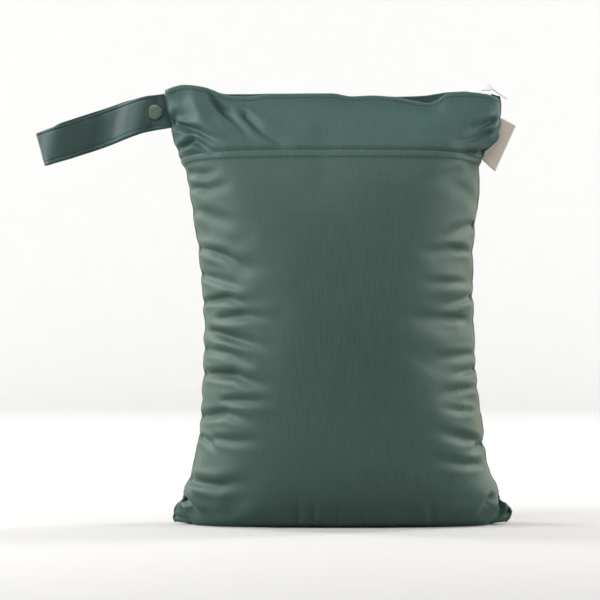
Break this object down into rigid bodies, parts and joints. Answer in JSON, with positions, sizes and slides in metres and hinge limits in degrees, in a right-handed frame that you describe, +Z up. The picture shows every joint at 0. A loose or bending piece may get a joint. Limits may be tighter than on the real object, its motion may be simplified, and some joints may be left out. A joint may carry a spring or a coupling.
{
  "type": "wet bag",
  "caption": "Zip-top coated cloth wet bag for nappies, filled and standing on its flattened base, with an outer slip pocket, a doubled carry strap closed by a press stud and a small side label.",
  "frame": {"origin": "on the floor, under the middle of the flattened base", "axes": "+Z up; +X to the right seen from the front, towards the zip slider and the label; the pocket's side faces -Y"},
  "size_m": [0.3931, 0.1192, 0.3587],
  "materials": {
    "cloth": "coated jersey, faint sheen",
    "strap": "coated jersey, faint sheen",
    "tape": "white woven zip tape",
    "coil": "white nylon coil",
    "slider": "white enamel",
    "stud": "satin resin",
    "label": "unbleached woven tape"
  },
  "bodies": {
    "bag": {"back_panel": "cloth", "front_panel": "cloth", "pocket_panel": "cloth", "zip_tape_front": "tape", "zip_tape_back": "tape", "zip_coil": "coil", "zip_slider": "slider", "strap": "strap", "snap_cap_front": "stud", "snap_cap_back": "stud", "snap_socket": "stud", "label": "label"},
    "pull": {"zip_pull": "slider"}
  },
  "joints": [
    {"name": "pull_hinge", "type": "hinge", "parent": "bag", "child": "pull", "pos_m": [0.12189, 0, 0.35713], "axis": [0, -1, 0], "range_deg": [0, 200]}
  ]
}
